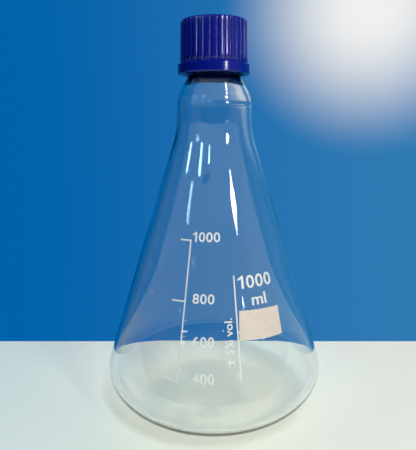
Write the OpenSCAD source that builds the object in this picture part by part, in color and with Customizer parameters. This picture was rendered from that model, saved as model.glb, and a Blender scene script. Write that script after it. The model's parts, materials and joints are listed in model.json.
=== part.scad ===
// Screw-cap Erlenmeyer flask, 1000 ml.
// Origin: centre of the base on the bench. +Z is up, the printed front faces -Y. Millimetres.

/* [Glass body] */
// Largest outside diameter, low on the heel
base_d = 131; // [112:1:158]
// Height of the glass from the bench to the lip
glass_h = 220; // [183:1:265]
// Wall thickness of the cone, neck and shoulder
wall = 2; // [1.5:0.1:3]
// Thickness of the floor
floor_t = 2.6; // [1.8:0.1:4]
// Rise of the floor's centre above the foot ring
push_up = 2; // [0.5:0.1:4]
// Width of the flat foot ring that stands on the bench
foot_w = 3; // [1:0.5:6]
// Radial run of the heel curve
heel_run = 25.8; // [18:0.1:31]
// Height of the widest point above the bench
heel_rise = 23.3; // [16:0.1:28]
// Fullness of the heel curve (2 is an ellipse)
heel_fullness = 1.82; // [1.6:0.02:2.6]
// Radius that turns the widest point into the cone
waist_r = 24; // [12:1:29]
// Outside diameter of the straight neck
neck_d = 42.6; // [38:0.1:51]
// Length of the straight neck
neck_len = 5.6; // [3:0.1:10]
// Radius that turns the cone into the neck
neck_blend_r = 60; // [40:1:80]
// Radius of the bend from the neck into the shoulder
shoulder_r = 12; // [7:0.5:14]
// Inward slope of the shoulder, from the vertical
shoulder_angle = 30; // [22:1:32]

/* [Threaded mouth] */
// Height of the straight threaded mouth
finish_h = 23; // [21:0.5:27]
// Diameter of the hole through the mouth
bore_d = 22.8; // [18:0.1:25]
// Radius that turns the shoulder into the mouth
finish_blend_r = 3; // [2:0.5:6]
// Distance from the foot of the straight mouth down to where the wall starts to thicken
throat_drop = 7.1; // [6:0.1:9]
// Inward slope of the thickened throat, from the vertical
throat_angle = 35; // [33:1:42]
// Diameter over the glass thread
thread_d = 32; // [31:0.1:38]
// Radial height of the glass thread
thread_depth = 1.5; // [1.2:0.1:1.9]
// Rise of the thread in one turn
pitch = 4; // [3.4:0.1:4.8]
// Turns of thread on the glass
glass_turns = 1.75; // [1.25:0.25:2]
// Height of the plain lip above the thread
lip_h = 4.3; // [3.6:0.1:5]
// How far the lip is set in from the thread's root
lip_inset = 0.9; // [0.7:0.1:1.2]
// Rounding of the lip's two edges
lip_round = 0.6; // [0.3:0.1:0.8]

/* [Pouring ring] */
// Thickness of the ring over the lip
ring_t = 1; // [0.8:0.1:1.4]
// Thickness of the ring's collar
collar_t = 0.7; // [0.5:0.05:0.8]
// Length of the collar down the lip
collar_h = 3.4; // [2.6:0.1:3.6]
// Overhang of the drip edge beyond the collar
drip_edge = 0.2; // [0.1:0.05:0.25]

/* [Screw cap] */
// Gap between the cap's mouth and the foot of the straight glass mouth
skirt_gap = 0; // [0:0.1:2]
// Thickness of the cap's top
crown_t = 2.4; // [1.6:0.1:3]
// Wall of the cap between its ribs, at the top
cap_wall = 1.5; // [1.2:0.1:2.2]
// Radial height of a rib at the top
rib_h = 0.7; // [0.4:0.05:1]
// Width of a rib where it meets the wall
rib_w = 2.6; // [1.2:0.1:2.8]
// Width of a rib's sides carried out to the flange's radius
rib_crest_w = 1.9; // [0.6:0.1:2.2]
// Ribs round the cap
ribs = 32; // [24:1:36]
// Outward draft of the cap's side, in degrees
cap_draft = 1.2; // [0:0.1:2]
// Rounding of the cap's top edge
cap_round = 1.2; // [0.6:0.1:1.6]
// How far the plain flange at the cap's mouth stands out beyond the ribs
flange_out = 1.9; // [1.2:0.1:3]
// Height of the flange's straight side
flange_h = 5.2; // [4:0.1:7]
// Height of the slope from the flange up to the ribs
flange_slope = 0.9; // [0.5:0.1:1.5]
// Turns of thread in the cap
cap_turns = 1.5; // [1:0.25:1.75]
// How far the cap's thread ends below the top of the glass thread
thread_stagger = 3.3; // [2.4:0.1:4]

/* [Seal] */
// Thickness of the loose seal disc
seal_t = 1.8; // [1:0.1:2.4]

/* [Printed marks] */
// Thickness of the fired print
print_t = 0.15; // [0.1:0.05:0.3]
// Width of a printed line
line_w = 0.7; // [0.4:0.1:1.2]
// Angle that a graduation tick spans, left of the scale line
tick_span = 8.6; // [5:0.1:12]
// Height of the 1000 ml tick
mark_1000_z = 109.6; // [95:0.1:113]
// Height of the 800 ml tick
mark_800_z = 79; // [70:0.1:85]
// Height of the 600 ml tick
mark_600_z = 58; // [50:0.1:65]
// Height of the 400 ml tick, and the foot of both long lines
mark_400_z = 40.3; // [34:0.1:46]
// Angle of the scale line, from the front towards +X
scale_az = -18; // [-30:0.1:0]
// Angle of the line beside the writing panel
divider_az = 13.2; // [0:0.1:25]
// Height of that line's top end
divider_top_z = 92.2; // [80:0.1:110]
// Angle of the writing panel's left edge
panel_az = 13.8; // [5:0.1:30]
// Angle that the writing panel spans
panel_span = 28.8; // [15:0.1:45]
// Height of the writing panel's lower edge
panel_z = 59.2; // [50:0.1:70]
// Height of the writing panel
panel_h = 15.4; // [10:0.1:25]

/* [Clearances] */
// Gap between the pouring ring and the lip
ring_fit = 0.05; // [0.02:0.01:0.1]
// Gap between the cap thread's crest and the glass thread's root
root_gap = 0.5; // [0.35:0.05:0.6]
// Gap between the glass thread's crest and the cap's bore
crest_gap = 0.4; // [0.3:0.05:0.6]
// Axial gap between the flanks that carry the load
flank_gap = 0.3; // [0.2:0.05:0.5]
// Gap on each face of the seal disc
seal_gap = 0.1; // [0.05:0.05:0.2]
// Gap between the seal disc's rim and the cap's bore
seal_rim_gap = 0.5; // [0.3:0.1:0.8]

/* [Hidden] */
$fn = 96;

// Segments of the outline's curves
heel_steps = 14;
floor_steps = 8;
arc_steps = 8;
round_steps = 5;
steps_per_turn = 40;

// Radii
base_r = base_d / 2;
neck_r = neck_d / 2;
bore_r = bore_d / 2;
crest_r = thread_d / 2;
root_r = crest_r - thread_depth;
lip_r = root_r - lip_inset;
heel_c = base_r - heel_run;
heel_power = 2 / heel_fullness;

// Heights, from the lip down
finish_z = glass_h - finish_h;
bend_in = 1 - cos(shoulder_angle);
taper_run = neck_r - root_r - (shoulder_r + finish_blend_r) * bend_in;
shoulder_h = (shoulder_r + finish_blend_r) * sin(shoulder_angle) + taper_run / tan(shoulder_angle);
neck_top = finish_z - shoulder_h;
neck_z = neck_top - neck_len;
lip_z = glass_h - lip_h;

// Inside of the throat: the bend onto its slope, and the edge of the bore
throat_bend_r = 1;
bore_edge_r = 1.5;

// The cone is the straight line that touches the waist arc and the neck blend
waist_c = [base_r - waist_r, heel_rise];
blend_c = [neck_r + neck_blend_r, neck_z];
centres = blend_c - waist_c;
cone_angle = asin((waist_r + neck_blend_r) / norm(centres)) - atan2(centres[0], centres[1]);
cone_foot = waist_c + waist_r * [cos(cone_angle), sin(cone_angle)];

// Thread form: flanks rise this far along the axis for each millimetre of depth
flank = 0.43;
glass_crest_w = 0.9;
cap_crest_w = 0.8;
root_bite = 0.5;
fade = 30;
thread_top_z = lip_z - lip_inset - 1.5;

// Closed stack on the lip
ring_top = glass_h + ring_t;
collar_r = lip_r + ring_fit + collar_t;
seal_z = ring_top + seal_gap;
crown_z = seal_z + seal_t + seal_gap;
cap_top = crown_z + crown_t;
cap_z = finish_z + skirt_gap;
cap_thread_top = thread_top_z - thread_stagger;

// Cap
cap_bore_r = crest_r + crest_gap;
cap_crest_r = root_r + root_gap;
core_r = cap_bore_r + cap_wall;
rib_r = core_r + rib_h;
flange_r = rib_r + flange_out;
flange_round = 0.6;
mouth_chamfer = 0.8;
rib_foot_z = cap_z + flange_h + flange_slope;
seal_r = cap_bore_r - seal_rim_gap;
seal_round = 0.4;

// The cap's ridge hangs under the glass ridge by their two half widths at any shared radius
ridge_sum = (glass_crest_w + cap_crest_w) / 2 + flank * (crest_r - cap_crest_r);
cap_helix_drop = ridge_sum + flank_gap;

function polar(a) = [cos(a), sin(a)];
function arc(c, r, a0, a1, n) = [for (i = [0:n]) c + r * polar(a0 + (a1 - a0) * i / n)];

// Outer radius of the straight cone at a height
function cone_r(z) = cone_foot[0] - (z - cone_foot[1]) * tan(cone_angle);

// Floor: a shallow cosine dome inside the flat foot ring
function floor_line(lift) = concat(
    [for (i = [0:floor_steps]) [(heel_c - foot_w) * i / floor_steps,
                                lift + push_up * (1 + cos(180 * i / floor_steps)) / 2]],
    [[heel_c, lift]]);

function heel_line(inset, lift) = [for (i = [1:heel_steps - 1]) let (t = 90 * (1 - i / heel_steps))
    [heel_c + (heel_run - inset) * pow(cos(t), heel_power),
     heel_rise - (heel_rise - lift) * pow(sin(t), heel_power)]];

// One skin of the glass, from the middle of the floor up to the shoulder's bend
function skin(inset, lift) = concat(
    floor_line(lift),
    heel_line(inset, lift),
    arc(waist_c, waist_r - inset, 0, cone_angle, round_steps),
    arc(blend_c, neck_blend_r + inset, 180 + cone_angle, 180, arc_steps),
    arc([neck_r - shoulder_r, neck_top], shoulder_r - inset, 0, shoulder_angle, round_steps));

// Outside, the shoulder's slope turns straight into the threaded mouth
function mouth_line() =
    arc([root_r + finish_blend_r, finish_z], finish_blend_r, 180 + shoulder_angle, 180, round_steps);

// Inside, the wall thickens up a steeper slope before it turns into the bore
function throat_line() = let (
    bend = [neck_r - shoulder_r, neck_top] + (shoulder_r - wall) * polar(shoulder_angle),
    z = max(finish_z - throat_drop, bend[1] + throat_bend_r / 2),
    foot = [bend[0] - (z - bend[1]) * tan(shoulder_angle), z],
    centre = foot - throat_bend_r * polar(shoulder_angle),
    start = centre + throat_bend_r * polar(throat_angle),
    run = start[0] - bore_r - bore_edge_r * (1 - cos(throat_angle)),
    edge_z = start[1] + run / tan(throat_angle) + bore_edge_r * sin(throat_angle))
    concat(
        arc(centre, throat_bend_r, shoulder_angle, throat_angle, 2),
        arc([bore_r + bore_edge_r, edge_z], bore_edge_r, 180 + throat_angle, 180, round_steps));

function reversed(list) = [for (i = [len(list) - 1:-1:0]) list[i]];

function lip_line() = concat(
    [[root_r, lip_z - lip_inset], [lip_r, lip_z]],
    arc([lip_r - lip_round, glass_h - lip_round], lip_round, 0, 90, round_steps),
    arc([bore_r + lip_round, glass_h - lip_round], lip_round, 90, 180, round_steps));

// A right-handed ridge swept round the axis. It ends at height top_z, and its section runs from
// root to crest with flanks that widen towards the root. Both ends fade into the wall. Its helix
// is the glass thread's, lowered by drop.
module helical_ridge(root, crest, crest_w, turns, top_z, drop) {
    n = ceil(turns * steps_per_turn);
    total = turns * 360;
    start = 360 * (top_z + drop - thread_top_z) / pitch - total;
    half_root = crest_w / 2 + flank * abs(crest - root);
    rows = [for (i = [0:n]) let (
        a = total * i / n,
        grow = min(1, (a + 4) / fade, (total - a + 4) / fade),
        r = root + (crest - root) * grow,
        h = half_root - (half_root - crest_w / 2) * grow,
        z = top_z - pitch * (total - a) / 360,
        w = polar(start + a))
        [[root * w[0], root * w[1], z - half_root],
         [r * w[0], r * w[1], z - h],
         [r * w[0], r * w[1], z + h],
         [root * w[0], root * w[1], z + half_root]]];
    points = [for (row = rows) each row];
    sides = [for (i = [0:n - 1], k = [0:3]) let (a = i * 4 + k, b = i * 4 + (k + 1) % 4)
        each [[a, b, b + 4], [a, b + 4, a + 4]]];
    ends = [[3, 2, 1, 0], [n * 4, n * 4 + 1, n * 4 + 2, n * 4 + 3]];
    faces = concat(sides, ends);
    polyhedron(points, crest > root ? faces : [for (f = faces) reversed(f)]);
}

module flask_body() {
    color([0.78, 0.9, 0.9, 0.35]) union() {
        rotate_extrude()
            polygon(concat(
                skin(0, 0),
                mouth_line(),
                lip_line(),
                reversed(concat(skin(wall, floor_t), throat_line()))));
        helical_ridge(root_r - root_bite, crest_r, glass_crest_w, glass_turns, thread_top_z, 0);
    }
}

module pouring_ring() {
    inner_r = bore_r + lip_round / 2;
    drip_r = collar_r + drip_edge;
    soften = 0.3;
    color([0.08, 0.1, 0.5])
        rotate_extrude()
            polygon([
                [inner_r, glass_h],
                [lip_r + ring_fit, glass_h],
                [lip_r + ring_fit, glass_h - collar_h],
                [collar_r, glass_h - collar_h],
                [collar_r, glass_h + ring_t / 3],
                [drip_r, glass_h + ring_t / 3 + drip_edge],
                [drip_r, ring_top - drip_edge],
                [drip_r - drip_edge, ring_top],
                [inner_r + soften, ring_top],
                [inner_r, ring_top - soften]]);
}

// Side profile of the cap, of radius r at the top, with the draft and the rounded top edge
module cap_profile(r) {
    foot_r = r + (cap_top - cap_z) * tan(cap_draft);
    polygon(concat(
        [[0, cap_z], [foot_r, cap_z]],
        arc([r - cap_round, cap_top - cap_round], cap_round, 0, 90, round_steps),
        [[0, cap_top]]));
}

module rib_prisms() {
    for (i = [0:ribs - 1])
        rotate([0, 0, 360 * i / ribs])
            translate([0, 0, rib_foot_z - flange_slope])
                linear_extrude(cap_top - rib_foot_z + flange_slope)
                    polygon([
                        [core_r - 1, -rib_w / 2],
                        [core_r, -rib_w / 2],
                        [flange_r, -rib_crest_w / 2],
                        [flange_r, rib_crest_w / 2],
                        [core_r, rib_w / 2],
                        [core_r - 1, rib_w / 2]]);
}

module flange_ring() {
    rotate_extrude()
        polygon(concat(
            [[cap_bore_r, cap_z]],
            arc([flange_r - flange_round, cap_z + flange_round], flange_round, -90, 0, round_steps),
            [[flange_r, cap_z + flange_h],
             [rib_r, rib_foot_z],
             [cap_bore_r, rib_foot_z]]));
}

module screw_cap() {
    color([0.05, 0.07, 0.5]) union() {
        difference() {
            union() {
                rotate_extrude() cap_profile(core_r);
                intersection() {
                    rib_prisms();
                    rotate_extrude() cap_profile(rib_r);
                }
                flange_ring();
            }
            translate([0, 0, cap_z - 1])
                cylinder(h = crown_z - cap_z + 1, r = cap_bore_r);
            translate([0, 0, cap_z])
                cylinder(h = mouth_chamfer, r1 = cap_bore_r + mouth_chamfer, r2 = cap_bore_r);
        }
        helical_ridge(cap_bore_r + root_bite, cap_crest_r, cap_crest_w, cap_turns,
                      cap_thread_top, cap_helix_drop);
    }
}

module cap_seal() {
    color([0.06, 0.08, 0.42])
        rotate_extrude()
            polygon(concat(
                [[0, seal_z]],
                arc([seal_r - seal_round, seal_z + seal_round], seal_round, -90, 0, round_steps),
                arc([seal_r - seal_round, seal_z + seal_t - seal_round], seal_round, 0, 90, round_steps),
                [[0, seal_z + seal_t]]));
}

// A print patch on the cone from angle az over span, between two heights
module cone_patch(az, span, z0, z1) {
    rotate([0, 0, az - 90])
        rotate_extrude(angle = span)
            polygon([
                [cone_r(z0), z0],
                [cone_r(z0) + print_t, z0],
                [cone_r(z1) + print_t, z1],
                [cone_r(z1), z1]]);
}

// Print cut by its children from the cone's skin. They are placed with +X pointing outwards at
// angle az and +Y running round the cone, within half_span to either side.
module cone_print(az, z0, z1, half_span) {
    intersection() {
        cone_patch(az - half_span, 2 * half_span, z0, z1);
        rotate([0, 0, az - 90])
            children();
    }
}

// A strip that reaches from the axis out past the cone
module strip(y, z, w, h) {
    translate([0, y, z])
        cube([base_r, w, h]);
}

module graduation_scale() {
    marks = [mark_1000_z, mark_800_z, mark_600_z, mark_400_z];
    foot = mark_400_z - line_w / 2;
    top = mark_1000_z + line_w / 2;
    color([0.93, 0.92, 0.88])
        cone_print(scale_az, foot, top, tick_span + 2)
            union() {
                strip(-line_w / 2, foot, line_w, top - foot);
                for (z = marks) {
                    reach = cone_r(z) * sin(tick_span);
                    strip(-reach, z - line_w / 2, reach, line_w);
                }
            }
}

module divider_line() {
    foot = mark_400_z - line_w / 2;
    color([0.93, 0.92, 0.88])
        cone_print(divider_az, foot, divider_top_z, 2)
            strip(-line_w / 2, foot, line_w, divider_top_z - foot);
}

module writing_panel() {
    color([0.93, 0.9, 0.85])
        cone_patch(panel_az, panel_span, panel_z, panel_z + panel_h);
}

flask_body();
pouring_ring();
screw_cap();
cap_seal();
graduation_scale();
divider_line();
writing_panel();
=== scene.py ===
import json
import math
import bmesh
import bpy
from mathutils import Matrix, Vector

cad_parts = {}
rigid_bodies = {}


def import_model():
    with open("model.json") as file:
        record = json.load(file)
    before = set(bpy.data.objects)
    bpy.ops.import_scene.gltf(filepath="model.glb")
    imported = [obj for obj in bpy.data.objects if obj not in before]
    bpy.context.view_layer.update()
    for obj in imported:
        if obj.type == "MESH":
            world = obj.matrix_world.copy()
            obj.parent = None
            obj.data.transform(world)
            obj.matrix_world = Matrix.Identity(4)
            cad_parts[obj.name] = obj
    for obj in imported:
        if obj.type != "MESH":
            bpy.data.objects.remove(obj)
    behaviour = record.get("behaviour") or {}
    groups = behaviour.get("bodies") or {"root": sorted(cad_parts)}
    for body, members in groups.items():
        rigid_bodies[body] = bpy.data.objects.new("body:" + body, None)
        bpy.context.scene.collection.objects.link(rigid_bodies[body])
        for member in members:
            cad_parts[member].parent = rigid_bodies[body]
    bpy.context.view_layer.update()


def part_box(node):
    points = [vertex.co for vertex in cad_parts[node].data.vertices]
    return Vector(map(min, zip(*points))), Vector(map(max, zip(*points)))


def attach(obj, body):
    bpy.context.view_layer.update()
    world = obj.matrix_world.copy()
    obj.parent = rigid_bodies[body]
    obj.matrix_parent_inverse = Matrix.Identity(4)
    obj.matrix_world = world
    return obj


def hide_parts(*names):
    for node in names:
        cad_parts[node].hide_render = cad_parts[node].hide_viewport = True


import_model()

weldDistance = 0.000002


def mm(value):
    return value * 0.001


def addNode(tree, kind, **settings):
    node = tree.nodes.new(kind)
    for name, value in settings.items():
        setattr(node, name, value)
    return node


def feed(tree, socket, value):
    # value is another node's output, or a plain number, colour or vector
    if isinstance(value, bpy.types.NodeSocket):
        tree.links.new(value, socket)
    else:
        socket.default_value = value


def calc(tree, operation, *values):
    node = addNode(tree, "ShaderNodeMath", operation=operation)
    for socket, value in zip(node.inputs, values):
        feed(tree, socket, value)
    return node.outputs[0]


def smoothRange(tree, value, fromLow, fromHigh, toLow=0.0, toHigh=1.0):
    node = addNode(tree, "ShaderNodeMapRange", interpolation_type="SMOOTHSTEP", clamp=True)
    for name, each in (("Value", value), ("From Min", fromLow), ("From Max", fromHigh),
                       ("To Min", toLow), ("To Max", toHigh)):
        feed(tree, node.inputs[name], each)
    return node.outputs["Result"]


def newGroup(name, inputs):
    tree = bpy.data.node_groups.new(name, "GeometryNodeTree")
    tree.interface.new_socket("Geometry", in_out="INPUT", socket_type="NodeSocketGeometry")
    for label, kind in inputs:
        tree.interface.new_socket(label, in_out="INPUT", socket_type=kind)
    tree.interface.new_socket("Geometry", in_out="OUTPUT", socket_type="NodeSocketGeometry")
    return tree, addNode(tree, "NodeGroupInput").outputs, addNode(tree, "NodeGroupOutput").inputs


def finishGroup(tree, geometry, material, outputs):
    realize = addNode(tree, "GeometryNodeRealizeInstances")
    setMaterial = addNode(tree, "GeometryNodeSetMaterial")
    feed(tree, realize.inputs[0], geometry)
    feed(tree, setMaterial.inputs["Geometry"], realize.outputs[0])
    feed(tree, setMaterial.inputs["Material"], material)
    feed(tree, outputs[0], setMaterial.outputs[0])


def addModifier(obj, tree, values):
    modifier = obj.modifiers.new(tree.name, "NODES")
    modifier.node_group = tree
    for item in tree.interface.items_tree:
        if item.item_type == "SOCKET" and item.in_out == "INPUT" and item.name in values:
            modifier[item.identifier] = values[item.name]


def plainMesh(obj):
    # turns what the modifiers make into an ordinary mesh at the origin
    evaluated = obj.evaluated_get(bpy.context.evaluated_depsgraph_get())
    mesh = bpy.data.meshes.new_from_object(evaluated)
    obj.modifiers.clear()
    spare = obj.data
    obj.data = mesh
    bpy.data.meshes.remove(spare)
    mesh.name = obj.name
    return obj


def meshObject(name, vertices, edges=(), faces=()):
    mesh = bpy.data.meshes.new(name)
    mesh.from_pydata(vertices, edges, faces)
    obj = bpy.data.objects.new(name, mesh)
    bpy.context.scene.collection.objects.link(obj)
    return obj


def latheTree():
    # turns a profile line round the Z axis, with optional ribs and a helical thread
    bandDome = 1.3
    threadFade = 0.09
    waves = {"across": 1.3, "along": 22.0, "scale": 1.6, "detail": 1.0}
    number = "NodeSocketFloat"
    tree, given, out = newGroup("latheWithRibsAndThread", [
        ("Segments", "NodeSocketInt"), ("Rib Count", number), ("Rib Height", number),
        ("Groove Half Width", number), ("Thread Height", number),
        ("Thread Pitch", number), ("Thread Turns", number), ("Thread Datum", number),
        ("Thread End Turn", number), ("Thread Root", number), ("Thread Crest", number),
        ("Waviness", number), ("Material", "NodeSocketMaterial")])

    size = addNode(tree, "GeometryNodeAttributeDomainSize")
    feed(tree, size.inputs[0], given["Geometry"])
    rowCount = size.outputs["Point Count"]
    grid = addNode(tree, "GeometryNodeMeshGrid")
    feed(tree, grid.inputs["Size X"], 1.0)
    feed(tree, grid.inputs["Size Y"], 1.0)
    feed(tree, grid.inputs["Vertices X"], calc(tree, "ADD", given["Segments"], 1.0))
    feed(tree, grid.inputs["Vertices Y"], rowCount)
    place = addNode(tree, "ShaderNodeSeparateXYZ")
    feed(tree, place.inputs[0], addNode(tree, "GeometryNodeInputPosition").outputs[0])
    turn = calc(tree, "ADD", place.outputs["X"], 0.5)
    row = calc(tree, "ROUND", calc(tree, "MULTIPLY", calc(tree, "ADD", place.outputs["Y"], 0.5),
                                   calc(tree, "SUBTRACT", rowCount, 1.0)))

    def fromProfile(kind, field):
        sample = addNode(tree, "GeometryNodeSampleIndex", data_type=kind, domain="POINT")
        feed(tree, sample.inputs["Geometry"], given["Geometry"])
        feed(tree, sample.inputs["Value"], field)
        feed(tree, sample.inputs["Index"], row)
        return sample.outputs[0]

    def share(name):
        node = addNode(tree, "GeometryNodeInputNamedAttribute", data_type="FLOAT")
        feed(tree, node.inputs["Name"], name)
        return fromProfile("FLOAT", node.outputs[0])

    profile = addNode(tree, "ShaderNodeSeparateXYZ")
    feed(tree, profile.inputs[0], fromProfile(
        "FLOAT_VECTOR", addNode(tree, "GeometryNodeInputPosition").outputs[0]))
    radius, height = profile.outputs["X"], profile.outputs["Z"]

    # ribs: slightly domed bands between round-bottomed grooves
    part = calc(tree, "FRACT", calc(tree, "ADD", calc(
        tree, "MULTIPLY", turn, given["Rib Count"]), 0.5))
    offCentre = calc(tree, "ABSOLUTE", calc(tree, "SUBTRACT", part, 0.5))
    fromGroove = calc(tree, "MINIMUM", 1.0, calc(
        tree, "DIVIDE", calc(tree, "SUBTRACT", 0.5, offCentre), given["Groove Half Width"]))
    groove = calc(tree, "SQRT", calc(tree, "SUBTRACT", 1.0, calc(
        tree, "MULTIPLY", fromGroove, fromGroove)))
    band = calc(tree, "MULTIPLY", calc(tree, "SUBTRACT", 1.0, groove), calc(
        tree, "SUBTRACT", 1.0, calc(tree, "MULTIPLY", bandDome, calc(
            tree, "MULTIPLY", offCentre, offCentre))))
    rib = calc(tree, "MULTIPLY", band,
               calc(tree, "MULTIPLY", given["Rib Height"], share("ribShare")))

    # thread: distance along the axis to the nearest pass of the helix
    ahead = calc(tree, "SUBTRACT", calc(tree, "DIVIDE", calc(
        tree, "SUBTRACT", height, given["Thread Datum"]), given["Thread Pitch"]), turn)
    wholePasses = calc(tree, "ROUND", ahead)
    gap = calc(tree, "ABSOLUTE", calc(tree, "MULTIPLY", calc(tree, "SUBTRACT", ahead, wholePasses),
                                      given["Thread Pitch"]))
    along = calc(tree, "SUBTRACT", calc(tree, "ADD", turn, wholePasses), given["Thread End Turn"])
    start = calc(tree, "ADD", along, given["Thread Turns"])
    ends = calc(tree, "MULTIPLY", smoothRange(tree, along, 0.0, -threadFade),
                smoothRange(tree, start, 0.0, threadFade))
    flank = smoothRange(tree, gap, given["Thread Root"], given["Thread Crest"])
    ridge = calc(tree, "MULTIPLY", flank, calc(tree, "MULTIPLY", ends, calc(
        tree, "MULTIPLY", given["Thread Height"], share("threadShare"))))

    # slow waves in the blown wall
    noise = addNode(tree, "ShaderNodeTexNoise", noise_dimensions="3D")
    ring = addNode(tree, "ShaderNodeCombineXYZ")
    angle = calc(tree, "MULTIPLY", turn, math.tau)
    feed(tree, ring.inputs["X"], calc(
        tree, "MULTIPLY", calc(tree, "COSINE", angle), waves["across"]))
    feed(tree, ring.inputs["Y"], calc(
        tree, "MULTIPLY", calc(tree, "SINE", angle), waves["across"]))
    feed(tree, ring.inputs["Z"], calc(tree, "MULTIPLY", height, waves["along"]))
    feed(tree, noise.inputs["Vector"], ring.outputs[0])
    feed(tree, noise.inputs["Scale"], waves["scale"])
    feed(tree, noise.inputs["Detail"], waves["detail"])
    wave = calc(tree, "MULTIPLY", calc(tree, "SUBTRACT", noise.outputs["Fac"], 0.5),
                calc(tree, "MULTIPLY", given["Waviness"], share("waveShare")))

    radius = calc(tree, "ADD", calc(tree, "ADD", radius, rib), calc(tree, "ADD", ridge, wave))
    spot = addNode(tree, "ShaderNodeCombineXYZ")
    feed(tree, spot.inputs["X"], calc(tree, "MULTIPLY", radius, calc(tree, "COSINE", angle)))
    feed(tree, spot.inputs["Y"], calc(tree, "MULTIPLY", radius, calc(tree, "SINE", angle)))
    feed(tree, spot.inputs["Z"], height)
    move = addNode(tree, "GeometryNodeSetPosition")
    feed(tree, move.inputs["Geometry"], grid.outputs["Mesh"])
    feed(tree, move.inputs["Position"], spot.outputs[0])
    weld = addNode(tree, "GeometryNodeMergeByDistance")
    feed(tree, weld.inputs["Geometry"], move.outputs[0])
    feed(tree, weld.inputs["Distance"], weldDistance)
    smooth = addNode(tree, "GeometryNodeSetShadeSmooth")
    feed(tree, smooth.inputs["Geometry"], weld.outputs[0])
    finishGroup(tree, smooth.outputs[0], given["Material"], out)
    return tree


def wrapTree():
    # lays a flat drawing on the cone (x runs round it, y is height) and gives it a thickness
    number = "NodeSocketFloat"
    tree, given, out = newGroup("printWrappedOnCone", [
        ("Azimuth", number), ("Apex Radius", number), ("Slope", number), ("Lift", number),
        ("Thickness", number), ("Material", "NodeSocketMaterial")])
    raised = addNode(tree, "GeometryNodeExtrudeMesh", mode="FACES")
    feed(tree, raised.inputs["Mesh"], given["Geometry"])
    feed(tree, raised.inputs["Offset"], (0.0, 0.0, 1.0))
    feed(tree, raised.inputs["Offset Scale"], given["Thickness"])
    raised.inputs["Individual"].default_value = False
    under = addNode(tree, "GeometryNodeFlipFaces")
    feed(tree, under.inputs["Mesh"], given["Geometry"])
    both = addNode(tree, "GeometryNodeJoinGeometry")
    tree.links.new(raised.outputs["Mesh"], both.inputs[0])
    tree.links.new(under.outputs[0], both.inputs[0])
    weld = addNode(tree, "GeometryNodeMergeByDistance")
    feed(tree, weld.inputs["Geometry"], both.outputs[0])
    feed(tree, weld.inputs["Distance"], weldDistance)

    flat = addNode(tree, "ShaderNodeSeparateXYZ")
    feed(tree, flat.inputs[0], addNode(tree, "GeometryNodeInputPosition").outputs[0])
    skin = calc(tree, "SUBTRACT", given["Apex Radius"],
                calc(tree, "MULTIPLY", given["Slope"], flat.outputs["Y"]))
    angle = calc(tree, "ADD", given["Azimuth"], calc(tree, "DIVIDE", flat.outputs["X"], skin))
    radius = calc(tree, "ADD", skin, calc(tree, "ADD", given["Lift"], flat.outputs["Z"]))
    spot = addNode(tree, "ShaderNodeCombineXYZ")
    feed(tree, spot.inputs["X"], calc(tree, "MULTIPLY", radius, calc(tree, "SINE", angle)))
    feed(tree, spot.inputs["Y"], calc(tree, "MULTIPLY", calc(
        tree, "MULTIPLY", radius, calc(tree, "COSINE", angle)), -1.0))
    feed(tree, spot.inputs["Z"], flat.outputs["Y"])
    move = addNode(tree, "GeometryNodeSetPosition")
    feed(tree, move.inputs["Geometry"], weld.outputs[0])
    feed(tree, move.inputs["Position"], spot.outputs[0])
    finishGroup(tree, move.outputs[0], given["Material"], out)
    return tree


def newMaterial(name):
    material = bpy.data.materials.new(name)
    material.use_nodes = True
    tree = material.node_tree
    return material, tree, tree.nodes["Principled BSDF"]


def objectNoise(tree, scale, detail=2.0, stretch=(1.0, 1.0, 1.0), roughness=0.5):
    coordinates = addNode(tree, "ShaderNodeTexCoord")
    mapping = addNode(tree, "ShaderNodeMapping")
    feed(tree, mapping.inputs["Vector"], coordinates.outputs["Object"])
    feed(tree, mapping.inputs["Scale"], stretch)
    noise = addNode(tree, "ShaderNodeTexNoise")
    feed(tree, noise.inputs["Vector"], mapping.outputs[0])
    feed(tree, noise.inputs["Scale"], scale)
    feed(tree, noise.inputs["Detail"], detail)
    feed(tree, noise.inputs["Roughness"], roughness)
    return noise.outputs["Fac"]


def mixedColour(tree, factor, first, second):
    # each end is a colour or another node's output
    mix = addNode(tree, "ShaderNodeMix", data_type="RGBA")
    feed(tree, mix.inputs[0], factor)
    for socket, end in ((mix.inputs[6], first), (mix.inputs[7], second)):
        feed(tree, socket, end if isinstance(end, bpy.types.NodeSocket) else (*end, 1.0))
    return mix.outputs[2]


def addBump(tree, shader, height, strength, distance):
    bump = addNode(tree, "ShaderNodeBump")
    feed(tree, bump.inputs["Height"], height)
    feed(tree, bump.inputs["Strength"], strength)
    feed(tree, bump.inputs["Distance"], distance)
    feed(tree, shader.inputs["Normal"], bump.outputs[0])


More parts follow.
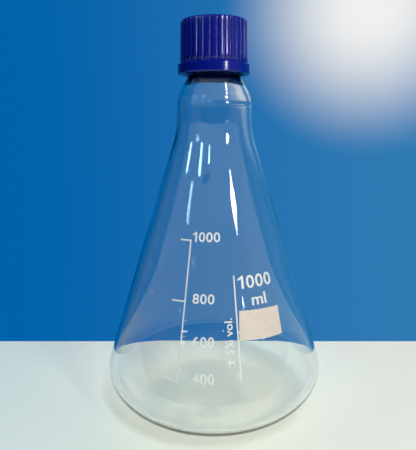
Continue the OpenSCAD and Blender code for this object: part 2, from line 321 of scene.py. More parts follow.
def clearGlass():
    values = {"refraction": 1.473, "ripple": 0.05, "rippleDepth": 0.0006, "smear": 0.02,
              "lampColour": (0.89, 0.85, 0.84, 1.0), "depthColour": (0.60, 0.88, 0.82, 1.0),
              "density": 28.0}
    material, tree, shader = newMaterial("clearBorosilicate")
    shader.inputs["Base Color"].default_value = (1.0, 1.0, 1.0, 1.0)
    shader.inputs["IOR"].default_value = values["refraction"]
    shader.inputs["Transmission Weight"].default_value = 1.0
    smears = objectNoise(tree, scale=34.0, detail=4.0, stretch=(1.0, 1.0, 0.45), roughness=0.65)
    feed(tree, shader.inputs["Roughness"],
         smoothRange(tree, smears, 0.55, 0.8, 0.0, values["smear"]))
    ripples = objectNoise(tree, scale=26.0, detail=1.0, stretch=(1.0, 1.0, 0.5))
    addBump(tree, shader, ripples, values["ripple"], values["rippleDepth"])
    # lamps shine through the thin wall instead of leaving it a solid shadow
    lightPath = addNode(tree, "ShaderNodeLightPath")
    clearPath = addNode(tree, "ShaderNodeBsdfTransparent")
    clearPath.inputs["Color"].default_value = values["lampColour"]
    either = addNode(tree, "ShaderNodeMixShader")
    output = tree.nodes["Material Output"]
    feed(tree, either.inputs[0], lightPath.outputs["Is Shadow Ray"])
    feed(tree, either.inputs[1], shader.outputs[0])
    feed(tree, either.inputs[2], clearPath.outputs[0])
    feed(tree, output.inputs["Surface"], either.outputs[0])
    depth = addNode(tree, "ShaderNodeVolumeAbsorption")
    depth.inputs["Color"].default_value = values["depthColour"]
    depth.inputs["Density"].default_value = values["density"]
    feed(tree, output.inputs["Volume"], depth.outputs[0])
    return material


def mouldedPlastic(name, dark, light, roughness):
    material, tree, shader = newMaterial(name)
    cloud = objectNoise(tree, scale=60.0, detail=3.0)
    feed(tree, shader.inputs["Base Color"], mixedColour(tree, cloud, dark, light))
    grain = objectNoise(tree, scale=900.0, detail=3.0)
    feed(tree, shader.inputs["Roughness"],
         smoothRange(tree, grain, 0.2, 0.8, roughness - 0.05, roughness + 0.07))
    addBump(tree, shader, grain, strength=0.12, distance=0.00004)
    shader.inputs["IOR"].default_value = 1.5
    return material


def firedEnamel(name, dark, light):
    material, tree, shader = newMaterial(name)
    patches = objectNoise(tree, scale=260.0, detail=4.0, roughness=0.6)
    feed(tree, shader.inputs["Base Color"],
         mixedColour(tree, smoothRange(tree, patches, 0.3, 0.7), dark, light))
    grain = objectNoise(tree, scale=2600.0)
    feed(tree, shader.inputs["Roughness"], smoothRange(tree, grain, 0.2, 0.8, 0.34, 0.5))
    addBump(tree, shader, grain, strength=0.3, distance=0.00003)
    return material


def sealFace():
    material, tree, shader = newMaterial("softSeal")
    cloud = objectNoise(tree, scale=120.0, detail=3.0)
    feed(tree, shader.inputs["Base Color"],
         mixedColour(tree, cloud, (0.01, 0.02, 0.16), (0.015, 0.03, 0.20)))
    feed(tree, shader.inputs["Roughness"], smoothRange(tree, cloud, 0.3, 0.7, 0.55, 0.68))
    addBump(tree, shader, objectNoise(tree, scale=1500.0), strength=0.2, distance=0.00005)
    return material


glassMaterial = clearGlass()
capMaterial = mouldedPlastic("capPlastic", (0.0002, 0.003, 0.135), (0.0004, 0.006, 0.18), 0.15)
ringMaterial = mouldedPlastic("ringPlastic", (0.006, 0.012, 0.19), (0.008, 0.018, 0.24), 0.32)
enamelMaterial = firedEnamel("firedEnamel", (0.57, 0.565, 0.53), (0.63, 0.62, 0.58))
panelMaterial = firedEnamel("panelEnamel", (0.53, 0.465, 0.395), (0.57, 0.50, 0.425))
sealMaterial = sealFace()
print("materials ready")


def polar(angle):
    return Vector((math.cos(math.radians(angle)), math.sin(math.radians(angle))))


def arc(centre, radius, start, end, steps):
    return [Vector(centre) + radius * polar(start + (end - start) * i / steps)
            for i in range(steps + 1)]


def straight(start, end, steps):
    start, end = Vector(start), Vector(end)
    return [start + (end - start) * i / steps for i in range(1, steps)]


def rounded(corners, steps=4):
    # corners are (radius, height, rounding); sharp where the rounding is 0
    points = []
    for i, (r, z, rounding) in enumerate(corners):
        here = Vector((r, z))
        if rounding == 0 or i in (0, len(corners) - 1):
            points.append(here)
            continue
        back = (Vector(corners[i - 1][:2]) - here).normalized()
        ahead = (Vector(corners[i + 1][:2]) - here).normalized()
        half = back.angle(ahead) / 2
        reach = rounding / math.tan(half)
        centre = here + (back + ahead).normalized() * rounding / math.sin(half)
        first = here + back * reach - centre
        last = here + ahead * reach - centre
        sweep = first.angle_signed(last)
        for k in range(steps + 1):
            points.append(centre + Matrix.Rotation(sweep * k / steps, 2) @ first)
    return points


def held(points, distance=0.06):
    # a point close to each end of a long step keeps flats flat under smooth shading
    kept = [points[0]]
    for start, end in zip(points, points[1:]):
        if (end - start).length > 8 * distance:
            step = (end - start).normalized() * distance
            kept += [start + step, end - step]
        kept.append(end)
    return kept


def latheObject(name, points, shares, values, material):
    # shares maps an attribute's name to one number for each profile point
    obj = meshObject(name, [(mm(p[0]), 0.0, mm(p[1])) for p in points],
                     [(i, i + 1) for i in range(len(points) - 1)])
    for label in ("ribShare", "threadShare", "waveShare"):
        attribute = obj.data.attributes.new(label, "FLOAT", "POINT")
        attribute.data.foreach_set("value", shares.get(label, [0.0] * len(points)))
    addModifier(obj, lathe, {**values, "Material": material})
    return plainMesh(obj)


lathe = latheTree()
wrap = wrapTree()

flaskSizes = {
    "wall": 2.0, "floor": 2.6, "pushUp": 2.0, "footWidth": 3.0,
    "heelRun": 25.8, "heelRise": 23.3, "heelFullness": 1.82, "waistRadius": 24.0,
    "neckRadius": 21.3, "neckLength": 5.6, "neckBlend": 60.0,
    "shoulderRadius": 12.0, "shoulderAngle": 30.0,
    "finishHeight": 23.0, "finishBlend": 3.0, "boreRadius": 11.4,
    "throatDrop": 7.1, "throatAngle": 35.0, "throatBend": 1.0, "boreEdge": 1.5,
    "rootRadius": 14.5, "threadHeight": 1.5, "pitch": 4.0, "turns": 1.75,
    "threadTopBelowLip": 6.7, "threadRootHalf": 1.1, "threadCrestHalf": 0.45,
    "lipHeight": 4.3, "lipInset": 0.9, "lipRound": 0.6, "segments": 240,
    "weldHeight": 180.6, "weldWidth": 0.8, "weldBead": 0.16, "weldStep": 0.25,
    "weldReach": 8, "weldSharpness": 3, "waveDepth": 0.35, "waveFoot": 30, "waveRise": 40,
    "waveFall": 20, "domeSteps": 14, "heelSteps": 30, "threadSteps": 84,
}


def coneLine(sizes, baseRadius, neckStart):
    # the straight cone touches the waist's arc and the neck's blend
    waist = Vector((baseRadius - sizes["waistRadius"], sizes["heelRise"]))
    blend = Vector((sizes["neckRadius"] + sizes["neckBlend"], neckStart))
    centres = blend - waist
    angle = math.degrees(math.asin((sizes["waistRadius"] + sizes["neckBlend"]) / centres.length)
                         - math.atan2(centres.x, centres.y))
    return waist, blend, angle


def neckTopOf(sizes, lipTop):
    # where the straight neck ends and the shoulder begins
    slope = math.radians(sizes["shoulderAngle"])
    bends = sizes["shoulderRadius"] + sizes["finishBlend"]
    taper = sizes["neckRadius"] - sizes["rootRadius"] - bends * (1 - math.cos(slope))
    finishFoot = lipTop - sizes["finishHeight"]
    return finishFoot - bends * math.sin(slope) - taper / math.tan(slope)


def skinLine(sizes, baseRadius, lipTop, inset, lift, mouthRadius):
    # one skin of the glass, from the middle of the floor up to the straight mouth
    slope = sizes["shoulderAngle"]
    tilt = math.tan(math.radians(slope))
    neckTop = neckTopOf(sizes, lipTop)
    waist, blend, cone = coneLine(sizes, baseRadius, neckTop - sizes["neckLength"])
    footEdge = baseRadius - sizes["heelRun"]
    power = 2 / sizes["heelFullness"]

    dome = footEdge - sizes["footWidth"]
    points = []
    for i in range(sizes["domeSteps"] + 1):
        t = i / sizes["domeSteps"]
        rise = sizes["pushUp"] * (1 + math.cos(math.pi * t)) / 2
        points.append(Vector((dome * t, lift + rise)))
    for i in range(sizes["heelSteps"] + 1):
        t = math.pi / 2 * (1 - i / sizes["heelSteps"])
        points.append(Vector((
            footEdge + (sizes["heelRun"] - inset) * abs(math.cos(t)) ** power,
            sizes["heelRise"] - (sizes["heelRise"] - lift) * abs(math.sin(t)) ** power)))
    points += arc(waist, sizes["waistRadius"] - inset, 0, cone, 10)[1:]
    neck = arc(blend, sizes["neckBlend"] + inset, 180 + cone, 180, 14)
    points += straight(points[-1], neck[0], 24) + neck
    bendCentre = Vector((sizes["neckRadius"] - sizes["shoulderRadius"], neckTop))
    bend = arc(bendCentre, sizes["shoulderRadius"] - inset, 0, slope, 12)
    points += straight(points[-1], bend[0], 20 if inset == 0 else 6) + bend
    end = bend[-1]
    if inset == 0:
        fillet = sizes["finishBlend"]
        run = end.x - mouthRadius - fillet * (1 - polar(slope).x)
        finishFoot = end.y + run / tilt + fillet * polar(slope).y
        throat = arc((mouthRadius + fillet, finishFoot), fillet, 180 + slope, 180, 8)
        return points + straight(end, throat[0], 5) + throat
    # inside, the wall thickens up a steeper slope before it turns into the bore
    steep, turn, edge = sizes["throatAngle"], sizes["throatBend"], sizes["boreEdge"]
    foot = Vector((end.x, lipTop - sizes["finishHeight"] - sizes["throatDrop"]))
    foot.x -= (foot.y - end.y) * tilt
    bent = arc(foot - turn * polar(slope), turn, slope, steep, 8)
    run = bent[-1].x - mouthRadius - edge * (1 - polar(steep).x)
    edgeHeight = bent[-1].y + run / math.tan(math.radians(steep)) + edge * polar(steep).y
    boreEdge = arc((mouthRadius + edge, edgeHeight), edge, 180 + steep, 180, 8)
    return points + straight(end, foot, 4) + bent + straight(bent[-1], boreEdge[0], 3) + boreEdge


def makeGlass(sizes):
    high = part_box("flask_body")[1]
    baseRadius, lipTop = high.x * 1000, high.z * 1000
    outer = skinLine(sizes, baseRadius, lipTop, 0.0, 0.0, sizes["rootRadius"])
    inner = skinLine(sizes, baseRadius, lipTop, sizes["wall"], sizes["floor"], sizes["boreRadius"])
    # the neck was joined to the shoulder here, which left a faint bead and a step above it
    for p in outer:
        fromWeld = (p.y - sizes["weldHeight"]) / sizes["weldWidth"]
        if abs(fromWeld) < sizes["weldReach"]:
            step = sizes["weldStep"] / (1 + math.exp(-sizes["weldSharpness"] * fromWeld))
            p.x += sizes["weldBead"] * math.exp(-fromWeld ** 2)
            p.x -= step * max(0, 1 - fromWeld / sizes["weldReach"])
    lipFoot = lipTop - sizes["lipHeight"]
    lipRadius = sizes["rootRadius"] - sizes["lipInset"]
    edge = sizes["lipRound"]
    threadFoot, threadEnd = outer[-1], Vector((sizes["rootRadius"], lipFoot - sizes["lipInset"]))
    finish = straight(threadFoot, threadEnd, sizes["threadSteps"]) + [threadEnd]
    lip = (straight(threadEnd, (lipRadius, lipFoot), 4) + [Vector((lipRadius, lipFoot))]
           + arc((lipRadius - edge, lipTop - edge), edge, 0, 90, 6)
           + arc((sizes["boreRadius"] + edge, lipTop - edge), edge, 90, 180, 6))
    points = outer + finish + lip + inner[::-1]
    thread = [0.0] * len(outer) + [1.0] * (len(finish) - 1) + [0.0] * (1 + len(lip) + len(inner))
    lastWave = lipTop - sizes["finishHeight"]
    wave = [0.0] * (len(points) - len(inner)) + [
        max(0.0, min(1.0, (p.y - sizes["waveFoot"]) / sizes["waveRise"],
                     (lastWave - p.y) / sizes["waveFall"])) for p in inner[::-1]]
    return latheObject("flaskGlass", points, {"threadShare": thread, "waveShare": wave}, {
        "Segments": sizes["segments"], "Thread Height": mm(sizes["threadHeight"]),
        "Thread Pitch": mm(sizes["pitch"]), "Thread Turns": sizes["turns"],
        "Thread Datum": mm(lipTop - sizes["threadTopBelowLip"]), "Thread End Turn": 0.0,
        "Thread Root": mm(sizes["threadRootHalf"]), "Thread Crest": mm(sizes["threadCrestHalf"]),
        "Waviness": mm(sizes["waveDepth"])}, glassMaterial)


flaskGlass = makeGlass(flaskSizes)
print("glass made,", len(flaskGlass.data.polygons), "faces")
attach(flaskGlass, "flask")
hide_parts("flask_body")

capSizes = {
    "bore": 16.4, "core": 17.9, "ribs": 32, "ribHeight": 0.7, "grooveWidth": 1.2,
    "draft": 1.2, "topRound": 1.2, "crown": 2.4, "flangeHeight": 5.2, "flangeSlope": 0.9,
    "flangeRound": 0.6, "chamfer": 0.8, "threadHeight": 1.4, "pitch": 4.0, "turns": 1.5,
    "threadTop": 210.0, "threadDatum": 211.72, "threadRootHalf": 1.0, "threadCrestHalf": 0.4,
    "segments": 896, "innerRound": 0.4, "flat": 0.2, "ledgeLip": 0.3, "ribFoot": 0.6,
    "boreSteps": 46, "plainSteps": 4,
}


def makeCap(sizes):
    low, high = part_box("screw_cap")
    foot, top, flange = low.z * 1000, high.z * 1000, high.x * 1000
    slope = math.tan(math.radians(sizes["draft"]))
    ledge = foot + sizes["flangeHeight"] + sizes["flangeSlope"]
    ceiling = top - sizes["crown"]
    wallTop = top - sizes["topRound"]
    boreRadius, innerRound = sizes["bore"], sizes["innerRound"]
    boreFoot = foot + sizes["chamfer"]
    wallFoot = sizes["core"] + (wallTop - ledge) * slope

    # the closed end inside, down the bore, round the flange, up the ribs and over the top
    inside = [Vector((0.0, ceiling)), Vector((6.0, ceiling))]
    inside += [Vector((boreRadius - innerRound - sizes["flat"], ceiling))]
    inside += arc((boreRadius - innerRound, ceiling - innerRound), innerRound, 90, 0, 3)
    bore = straight(inside[-1], (boreRadius, boreFoot), sizes["boreSteps"])
    mouth = rounded([(boreRadius, boreFoot + sizes["flat"], 0), (boreRadius, boreFoot, 0.15),
                     (boreRadius + sizes["chamfer"], foot, 0.2), (flange - 0.3, foot, 0)], 3)[1:-1]
    rim = arc((flange - sizes["flangeRound"], foot + sizes["flangeRound"]),
              sizes["flangeRound"], -90, 0, 6)
    rim += rounded([(flange, foot + 2.0, 0), (flange, foot + sizes["flangeHeight"], 0.3),
                    (wallFoot + sizes["ledgeLip"], ledge, 0.12),
                    (wallFoot, ledge + 0.02, 0)], 3)[1:-1]
    mouth, rim = held(mouth), held(rim)
    side = [Vector((wallFoot, ledge + 0.05)), Vector((wallFoot, ledge + 0.35))]
    side += straight(side[-1], (sizes["core"], wallTop), 8)
    faceEdge = sizes["core"] - sizes["topRound"]
    edge = arc((faceEdge, wallTop), sizes["topRound"], 0, 90, 8)
    face = [Vector((faceEdge - 0.25, top)), Vector((8.0, top)), Vector((0.0, top))]
    points = inside + bore + mouth + rim + side + edge + face

    # the ribs run from the ledge to the face, and the thread stops short of the bore's foot
    before = len(points) - len(side) - len(edge) - len(face)
    fullRibs = len(side) - 1 + len(edge)
    ribs = [0.0] * before + [sizes["ribFoot"]] + [1.0] * fullRibs + [0.0] * len(face)
    threaded = len(bore) - sizes["plainSteps"]
    thread = ([0.0] * len(inside) + [1.0] * threaded
              + [0.0] * (len(points) - len(inside) - threaded))
    ribPitch = math.tau * sizes["core"] / sizes["ribs"]
    return latheObject("screwCapShell", points, {"ribShare": ribs, "threadShare": thread}, {
        "Segments": sizes["segments"], "Rib Count": float(sizes["ribs"]),
        "Rib Height": mm(sizes["ribHeight"]),
        "Groove Half Width": sizes["grooveWidth"] / 2 / ribPitch,
        "Thread Height": -mm(sizes["threadHeight"]),
        "Thread Pitch": mm(sizes["pitch"]), "Thread Turns": sizes["turns"],
        "Thread Datum": mm(sizes["threadDatum"]),
        "Thread End Turn": (sizes["threadTop"] - sizes["threadDatum"]) / sizes["pitch"],
        "Thread Root": mm(sizes["threadRootHalf"]), "Thread Crest": mm(sizes["threadCrestHalf"]),
    }, capMaterial)


screwCap = makeCap(capSizes)
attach(screwCap, "cap")
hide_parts("screw_cap")
print("cap made,", len(screwCap.data.polygons), "faces")

ringSizes = {"inner": 11.7, "lip": 13.65, "collar": 14.35, "thickness": 1.0, "drip": 0.2,
             "seam": 0.8, "segments": 160}


def makePouringRing(sizes):
    low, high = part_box("pouring_ring")
    foot, top = low.z * 1000, high.z * 1000
    seat = top - sizes["thickness"]
    dripRadius = sizes["collar"] + sizes["drip"]
    dripFoot = seat + sizes["thickness"] / 3
    seam = sizes["inner"] + sizes["seam"]
    corners = [
        (seam, seat, 0), (sizes["lip"], seat, 0.05), (sizes["lip"], foot, 0.15),
        (sizes["collar"], foot, 0.15), (sizes["collar"], dripFoot, 0.06),
        (dripRadius, dripFoot + sizes["drip"], 0.05), (dripRadius, top, 0.2),
        (sizes["inner"], top, 0.3), (sizes["inner"], seat, 0.1), (seam, seat, 0)]
    return latheObject("pouringRing", held(rounded(corners, 4)), {},
                       {"Segments": sizes["segments"]}, ringMaterial)


pouringRing = makePouringRing(ringSizes)
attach(pouringRing, "flask")
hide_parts("pouring_ring")

sealSizes = {"rim": 0.4, "grooves": (9.0, 12.6), "grooveHalf": 0.4, "grooveDepth": 0.15,
             "grooveRound": 0.1, "segments": 128}


def makeSeal(sizes):
    low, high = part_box("cap_seal")
    foot, top, radius = low.z * 1000, high.z * 1000, high.x * 1000
    half, turn = sizes["grooveHalf"], sizes["grooveRound"]
    corners = [(0, foot, 0)]
    # shallow moulded rings on the face that meets the lip
    for groove in sizes["grooves"]:
        corners += [(groove - half, foot, turn), (groove, foot + sizes["grooveDepth"], turn),
                    (groove + half, foot, turn)]
    corners += [(radius, foot, sizes["rim"]), (radius, top, sizes["rim"]), (0, top, 0)]
    return latheObject("sealDisc", held(rounded(corners, 4)), {},
                       {"Segments": sizes["segments"]}, sealMaterial)


sealDisc = makeSeal(sealSizes)
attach(sealDisc, "seal")
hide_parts("cap_seal")
print("ring and seal made")

printSizes = {
    "lift": 0.012, "thickness": 0.07, "line": 0.7, "strip": 1.2, "bold": 0.014,
    "scaleAngle": -18.0, "tickAngle": 8.6, "marks": (109.6, 79.0, 58.0, 40.3),
    "dividerAngle": 13.2, "dividerTop": 92.2,
    "panelAngle": 13.8, "panelSpan": 28.8, "panelFoot": 59.2, "panelHeight": 15.4,
    "panelCorner": 0.5,
}
# each label: words, where its lower left corner is round the cone and in height, how wide and
# high it is, and whether it is turned to read upwards
scaleLabels = (
    ("1000", -11.2, 109.0, 14.4, 5.0, False),
    ("800", -11.2, 78.3, 11.4, 5.0, False),
    ("600", -11.2, 57.4, 11.3, 5.0, False),
    ("400", -11.2, 39.7, 11.3, 5.0, False),
)
volumeLabels = (
    ("1000", 12.6, 85.2, 20.4, 6.5, False),
    ("ml", 20.4, 76.4, 8.9, 5.9, False),
    ("± 5% vol.", 10.1, 48.2, 23.2, 4.5, True),
)


def coneBelow(sizes):
    # the cone's radius carried down to the bench, and how much it narrows with height
    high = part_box("flask_body")[1]
    neckStart = neckTopOf(sizes, high.z * 1000) - sizes["neckLength"]
    waist, blend, angle = coneLine(sizes, high.x * 1000, neckStart)
    foot = waist + sizes["waistRadius"] * polar(angle)
    lean = math.tan(math.radians(angle))
    return foot.x + foot.y * lean, lean


radiusAtBench, coneLean = coneBelow(flaskSizes)


def skinAt(z):
    return radiusAtBench - z * coneLean


def fromAngle(angle, z):
    # flat drawings are in millimetres: length round the cone from the front, and height
    return math.radians(angle) * skinAt(z)


def glyphOutline(character, bold):
    # the flat faces of one character, in a box about one unit high above its line
    if character == "1":
        left, right, bevel = 0.40, 0.57, 0.43
        flag, flagTop, flagFoot, crook = 0.16, 0.80, 0.63, 0.76
        points = [(left, 0), (right, 0), (right, 1), (bevel, 1), (left, 0.94), (flag, flagTop),
                  (flag, flagFoot), (left, crook)]
        return [Vector(p) for p in points], [(0, 1, 2, 3, 4, 7), (7, 4, 5, 6)]
    curve = bpy.data.curves.new("glyph", "FONT")
    curve.body = character
    curve.offset = bold
    curve.resolution_u = 6
    obj = bpy.data.objects.new("glyph", curve)
    bpy.context.scene.collection.objects.link(obj)
    evaluated = obj.evaluated_get(bpy.context.evaluated_depsgraph_get())
    mesh = bpy.data.meshes.new_from_object(evaluated)
    points = [Vector(v.co[:2]) for v in mesh.vertices]
    faces = [tuple(p.vertices) for p in mesh.polygons]
    for used, store in ((obj, bpy.data.objects), (curve, bpy.data.curves), (mesh, bpy.data.meshes)):
        store.remove(used)
    return points, faces


def boxOf(points):
    low = Vector((min(p.x for p in points), min(p.y for p in points)))
    return low, Vector((max(p.x for p in points), max(p.y for p in points)))


def wordDrawing(words, left, foot, width, height, upwards):
    # digits fill equal boxes, and other words are set as they come
    points, faces, pen = [], [], 0.0
    if words.isdigit():
        cell = {"digit": 1.0, "one": 0.66, "gap": 0.17, "afterOne": 0.30, "height": 1.49}
        for character in words:
            glyph, glyphFaces = glyphOutline(character, printSizes["bold"])
            low, high = boxOf(glyph)
            wide = cell["one"] if character == "1" else cell["digit"]
            fit = Vector((wide / (high.x - low.x), cell["height"] / (high.y - low.y)))
            faces += [tuple(len(points) + i for i in face) for face in glyphFaces]
            points += [(p - low) * fit + Vector((pen, 0)) for p in glyph]
            pen += wide + cell["afterOne" if character == "1" else "gap"]
    else:
        points, faces = glyphOutline(words, printSizes["bold"])
    low, high = boxOf(points)
    fit = Vector((width / (high.x - low.x), height / (high.y - low.y)))
    points = [(p - low) * fit for p in points]
    if upwards:
        points = [Vector((-p.y, p.x)) for p in points]
    middle = foot + (width if upwards else height) / 2
    placed = [((left + p.x) * skinAt(foot + p.y) / skinAt(middle), foot + p.y) for p in points]
    return placed, faces


def scaleDrawing(sizes):
    half = sizes["line"] / 2
    centre = sizes["scaleAngle"]
    marks = sorted(sizes["marks"])
    heights = [edge for z in marks for edge in (z - half, z + half)]
    points, faces = [], []

    def addPatch(x0, x1, z0, z1):
        start = len(points)
        for x, z in ((x0, z0), (x1, z0), (x1, z1), (x0, z1)):
            points.append((fromAngle(centre, z) + x, z))
        faces.append(tuple(range(start, start + 4)))

    for z0, z1 in zip(heights, heights[1:]):
        addPatch(-half, half, z0, z1)
    for z in marks:
        reach = fromAngle(sizes["tickAngle"], z)
        parts = math.ceil(reach / sizes["strip"])
        edges = [-reach + (reach - half) * i / parts for i in range(parts + 1)]
        for x0, x1 in zip(edges, edges[1:]):
            addPatch(x0, x1, z - half, z + half)
    return points, faces


def dividerDrawing(sizes):
    half = sizes["line"] / 2
    foot = min(sizes["marks"]) - half
    points = [(fromAngle(sizes["dividerAngle"], z) + x, z) for x, z in (
        (-half, foot), (half, foot), (half, sizes["dividerTop"]), (-half, sizes["dividerTop"]))]
    return points, [(0, 1, 2, 3)]


def panelDrawing(sizes):
    z0, z1 = sizes["panelFoot"], sizes["panelFoot"] + sizes["panelHeight"]
    left, right = sizes["panelAngle"], sizes["panelAngle"] + sizes["panelSpan"]
    corners = [(fromAngle(left, z0), z0), (fromAngle(right, z0), z0),
               (fromAngle(right, z1), z1), (fromAngle(left, z1), z1)]
    middle = Vector(corners[0]).lerp(Vector(corners[1]), 0.5)
    loop = [middle, *corners[1:], corners[0], middle]
    outline = rounded([(p[0], p[1], 0 if p is middle else sizes["panelCorner"]) for p in loop], 4)
    points = [tuple(p) for p in outline[:-1]]
    return points, [tuple(range(len(points)))]


def printedPiece(name, drawings, sizes, material):
    builder = bmesh.new()
    for points, faces in drawings:
        verts = [builder.verts.new((mm(x), mm(z), 0.0)) for x, z in points]
        for face in faces:
            builder.faces.new([verts[i] for i in face])
    bmesh.ops.remove_doubles(builder, verts=builder.verts, dist=weldDistance)
    bmesh.ops.dissolve_degenerate(builder, edges=builder.edges, dist=weldDistance)
    xs = [v.co.x for v in builder.verts]
    # narrow strips let the drawing bend round the cone
    cut = min(xs) + mm(sizes["strip"])
    while cut < max(xs):
        everything = builder.verts[:] + builder.edges[:] + builder.faces[:]
        bmesh.ops.bisect_plane(builder, geom=everything, plane_co=(cut, 0, 0),
                               plane_no=(1, 0, 0), dist=0.0000005)
        cut += mm(sizes["strip"])
    for face in builder.faces:
        if face.normal.z < 0:
            face.normal_flip()
    obj = meshObject(name, [])
    builder.to_mesh(obj.data)
    builder.free()
    addModifier(obj, wrap, {
        "Azimuth": 0.0, "Apex Radius": mm(radiusAtBench), "Slope": coneLean,
        "Lift": mm(sizes["lift"]), "Thickness": mm(sizes["thickness"]), "Material": material})
    return plainMesh(obj)


def printedWords(labels):
    return [wordDrawing(*label) for label in labels]


prints = (
    ("scaleMarks", [scaleDrawing(printSizes)], enamelMaterial, "graduation_scale", "fired_print"),
    ("scaleNumerals", printedWords(scaleLabels), enamelMaterial, None, "fired_print"),
    ("dividerPrint", [dividerDrawing(printSizes)], enamelMaterial, "divider_line", "fired_print"),
    ("volumeLabel", printedWords(volumeLabels), enamelMaterial, None, "fired_print"),
    ("panelPrint", [panelDrawing(printSizes)], panelMaterial, "writing_panel", "panel_print"),
)
for name, drawings, material, node, slot in prints:
    piece = printedPiece(name, drawings, printSizes, material)
    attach(piece, "flask")
    if node:
        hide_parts(node)
print("printed marks made")


def makeFloor():
    sizes = {"left": -1.2, "right": 1.2, "near": -0.9, "far": 0.075, "thickness": 0.02,
             "gap": 0.00006, "tintFrom": -0.15, "tintTo": 0.25, "tintDrift": 0.1}
    # painted light: a cool tint for the daylight from the left and a warm tint for the lamps on the
    # right
    paintedDaylightTint, paintedLampTint = (0.69, 0.745, 0.67), (0.82, 0.77, 0.635)
    x0, x1, y0, y1 = sizes["left"], sizes["right"], sizes["near"], sizes["far"]
    top = -sizes["gap"]
    bottom = top - sizes["thickness"]
    outline = [(x0, y0), (x1, y0), (x1, y1), (x0, y1)]
    corners = [(x, y, z) for z in (top, bottom) for x, y in outline]
    sides = [(i, i + 4, (i + 1) % 4 + 4, (i + 1) % 4) for i in range(4)]
    floor = meshObject("benchTop", corners, [], [(0, 1, 2, 3), (7, 6, 5, 4), *sides])
    material, tree, shader = newMaterial("paleBench")
    cloud = objectNoise(tree, scale=9.0)
    place = addNode(tree, "ShaderNodeSeparateXYZ")
    feed(tree, place.inputs[0], addNode(tree, "ShaderNodeTexCoord").outputs["Object"])
    # painted light: the bench's colour runs from a cool daylight tint on the left to a warm lamp
    # tint on the right
    drift = calc(tree, "MULTIPLY", cloud, sizes["tintDrift"])
    across = smoothRange(tree, calc(tree, "ADD", place.outputs["X"], drift),
                         sizes["tintFrom"], sizes["tintTo"])
    feed(tree, shader.inputs["Base Color"], mixedColour(tree, across, paintedDaylightTint, paintedLampTint))
    feed(tree, shader.inputs["Roughness"], smoothRange(tree, cloud, 0.3, 0.7, 0.5, 0.6))
    floor.data.materials.append(material)


makeFloor()


def makeSurroundings():
    # a blue wall behind, and a dim warm room in front that lightens towards its ceiling
    colours = {
        "wallLeft": (0.0, 0.125, 0.405), "wallRight": (0.030, 0.195, 0.455),
        "wallGlow": (0.87, 0.87, 0.86), "roomLow": (0.06, 0.055, 0.07),
        "roomHigh": (0.34, 0.32, 0.34), "roomLeft": (0.010, 0.014, 0.024),
        "roomRight": (0.34, 0.26, 0.30),
    }
    # each change of colour runs along one axis of the view direction, between two values
    spans = {
        "wall": ("X", -0.4, 0.45), "wallEnd": ("X", -0.85, -0.55), "ceiling": ("Z", 0.0, 0.8),
        "roomEnd": ("X", -0.75, 0.1), "warmEnd": ("X", 0.55, 0.95), "around": ("Y", -0.25, 0.15),
    }
    glow = {"towards": (0.282, 0.93, 0.216), "edge": 0.28, "core": 0.02}
    world = bpy.data.worlds.new("studioRoom")
    bpy.context.scene.world = world
    world.cycles.sampling_method = "NONE"
    world.use_nodes = True
    tree = world.node_tree
    tree.nodes.clear()
    output = addNode(tree, "ShaderNodeOutputWorld")
    direction = addNode(tree, "ShaderNodeTexCoord").outputs["Generated"]
    split = addNode(tree, "ShaderNodeSeparateXYZ")
    feed(tree, split.inputs[0], direction)

    def across(name):
        axis, low, high = spans[name]
        return smoothRange(tree, split.outputs[axis], low, high)

    wall = mixedColour(tree, across("wall"), colours["wallLeft"], colours["wallRight"])
    # a soft glare of the room's lights on the wall, up and to the right
    fromGlow = addNode(tree, "ShaderNodeVectorMath", operation="DISTANCE")
    feed(tree, fromGlow.inputs[0], direction)
    fromGlow.inputs[1].default_value = glow["towards"]
    glare = smoothRange(tree, fromGlow.outputs["Value"], glow["edge"], glow["core"])
    wall = mixedColour(tree, glare, wall, colours["wallGlow"])
    wall = mixedColour(tree, across("wallEnd"), colours["roomLeft"], wall)
    room = mixedColour(tree, across("ceiling"), colours["roomLow"], colours["roomHigh"])
    room = mixedColour(tree, across("roomEnd"), colours["roomLeft"], room)
    room = mixedColour(tree, across("warmEnd"), room, colours["roomRight"])
    background = addNode(tree, "ShaderNodeBackground")
    feed(tree, background.inputs["Color"], mixedColour(tree, across("around"), room, wall))
    feed(tree, output.inputs["Surface"], background.outputs[0])
    bpy.context.scene.view_settings.view_transform = "Standard"


makeSurroundings()

lampDistance = 1.5
lampTarget = Vector((0.0, 0.0, 0.11))


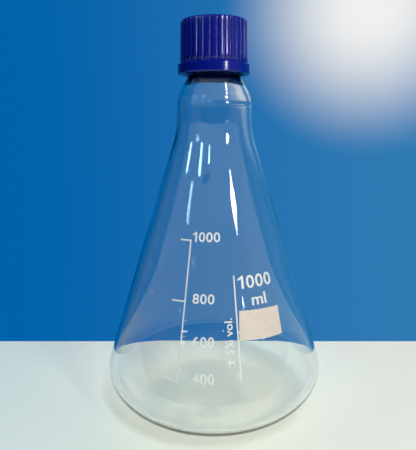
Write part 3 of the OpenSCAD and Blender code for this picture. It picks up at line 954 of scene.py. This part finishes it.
def addLamp(name, azimuth, elevation, width, height, roll, power, colour, only=None):
    # azimuth runs from the front towards +X, and the lamp faces the middle of the flask
    light = bpy.data.lights.new(name, "AREA")
    light.shape = "RECTANGLE"
    light.size = width
    light.size_y = height
    light.energy = power
    light.color = colour
    obj = bpy.data.objects.new(name, light)
    a, e = math.radians(azimuth), math.radians(elevation)
    towards = Vector((math.sin(a) * math.cos(e), -math.cos(a) * math.cos(e), math.sin(e)))
    obj.location = lampTarget + towards * lampDistance
    facing = towards.to_track_quat("Z", "Y").to_matrix()
    obj.rotation_euler = (facing @ Matrix.Rotation(math.radians(roll), 3, "Z")).to_euler()
    obj.visible_glossy = obj.visible_transmission = not name.startswith("ceiling")
    # the glass's shadow already lets the lamp through to the bench, so it isn't counted twice
    light.use_nodes = True
    tree = light.node_tree
    path = addNode(tree, "ShaderNodeLightPath")
    again = calc(tree, "MULTIPLY", path.outputs["Is Transmission Ray"], calc(
        tree, "MINIMUM", path.outputs["Diffuse Depth"], 1.0))
    feed(tree, tree.nodes["Emission"].inputs["Strength"], calc(tree, "SUBTRACT", 1.0, again))
    # a lamp with a piece named lights that piece alone
    if only is not None:
        obj.light_linking.receiver_collection = bpy.data.collections.new(name + "Reach")
        obj.light_linking.receiver_collection.objects.link(only)
    bpy.context.scene.collection.objects.link(obj)


# name, azimuth, elevation, width, height, roll, power, colour and perhaps the one piece it lights
warmWhite, roomWhite, skyBlue = (1.0, 0.97, 0.93), (1.0, 0.98, 0.95), (0.50, 0.93, 1.0)
lamps = (
    ("keyHigh", 62, 57.5, 0.10, 0.07, 0, 1.5, roomWhite),
    ("keyMiddle", 48, 41.0, 0.14, 0.08, 0, 2.2, warmWhite),
    ("keyLow", 40, 24.4, 0.15, 0.20, 42, 6.0, warmWhite),
    ("keyLevel", 38, 13.0, 0.08, 0.15, 0, 3.2, (0.90, 0.88, 1.0), screwCap),
    ("keyDots", 38, 11.0, 0.035, 0.035, 0, 0.18, roomWhite, flaskGlass),
    ("windowLeft", -70, 26.0, 0.07, 0.10, 0, 1.2, skyBlue),
    ("windowMiddle", -36, 32, 0.11, 0.18, 0, 2.4, (0.42, 0.90, 1.0)),
    ("windowNear", -13, 33, 0.05, 0.08, 0, 0.6, skyBlue),
    ("windowLow", -51.5, 23.0, 0.06, 0.14, 0, 0.6, (0.50, 0.90, 1.0)),
    ("ceilingLow", 27, 50, 0.06, 0.06, 0, 4.5, roomWhite),
    ("ceilingMiddle", 27, 57, 0.06, 0.06, 0, 5.5, roomWhite),
    ("ceilingHigh", 27, 64, 0.06, 0.06, 0, 5.0, roomWhite),
)
for lamp in lamps:
    addLamp(*lamp)

view = {"place": (0.0, -0.2850, 0.1678), "downwards": 11.905, "lens": 38.5728, "sensor": 36.0,
        "shift": (-0.01337778, 0.0092), "nearest": 0.01}


def makeCamera(settings):
    data = bpy.data.cameras.new("frontCamera")
    data.sensor_width = settings["sensor"]
    data.lens = settings["lens"]
    data.shift_x, data.shift_y = settings["shift"]
    data.clip_start = settings["nearest"]
    camera = bpy.data.objects.new("frontCamera", data)
    camera.location = settings["place"]
    camera.rotation_euler = (math.radians(90 - settings["downwards"]), 0.0, 0.0)
    bpy.context.scene.collection.objects.link(camera)
    bpy.context.scene.camera = camera


makeCamera(view)
print("floor, light and camera ready")
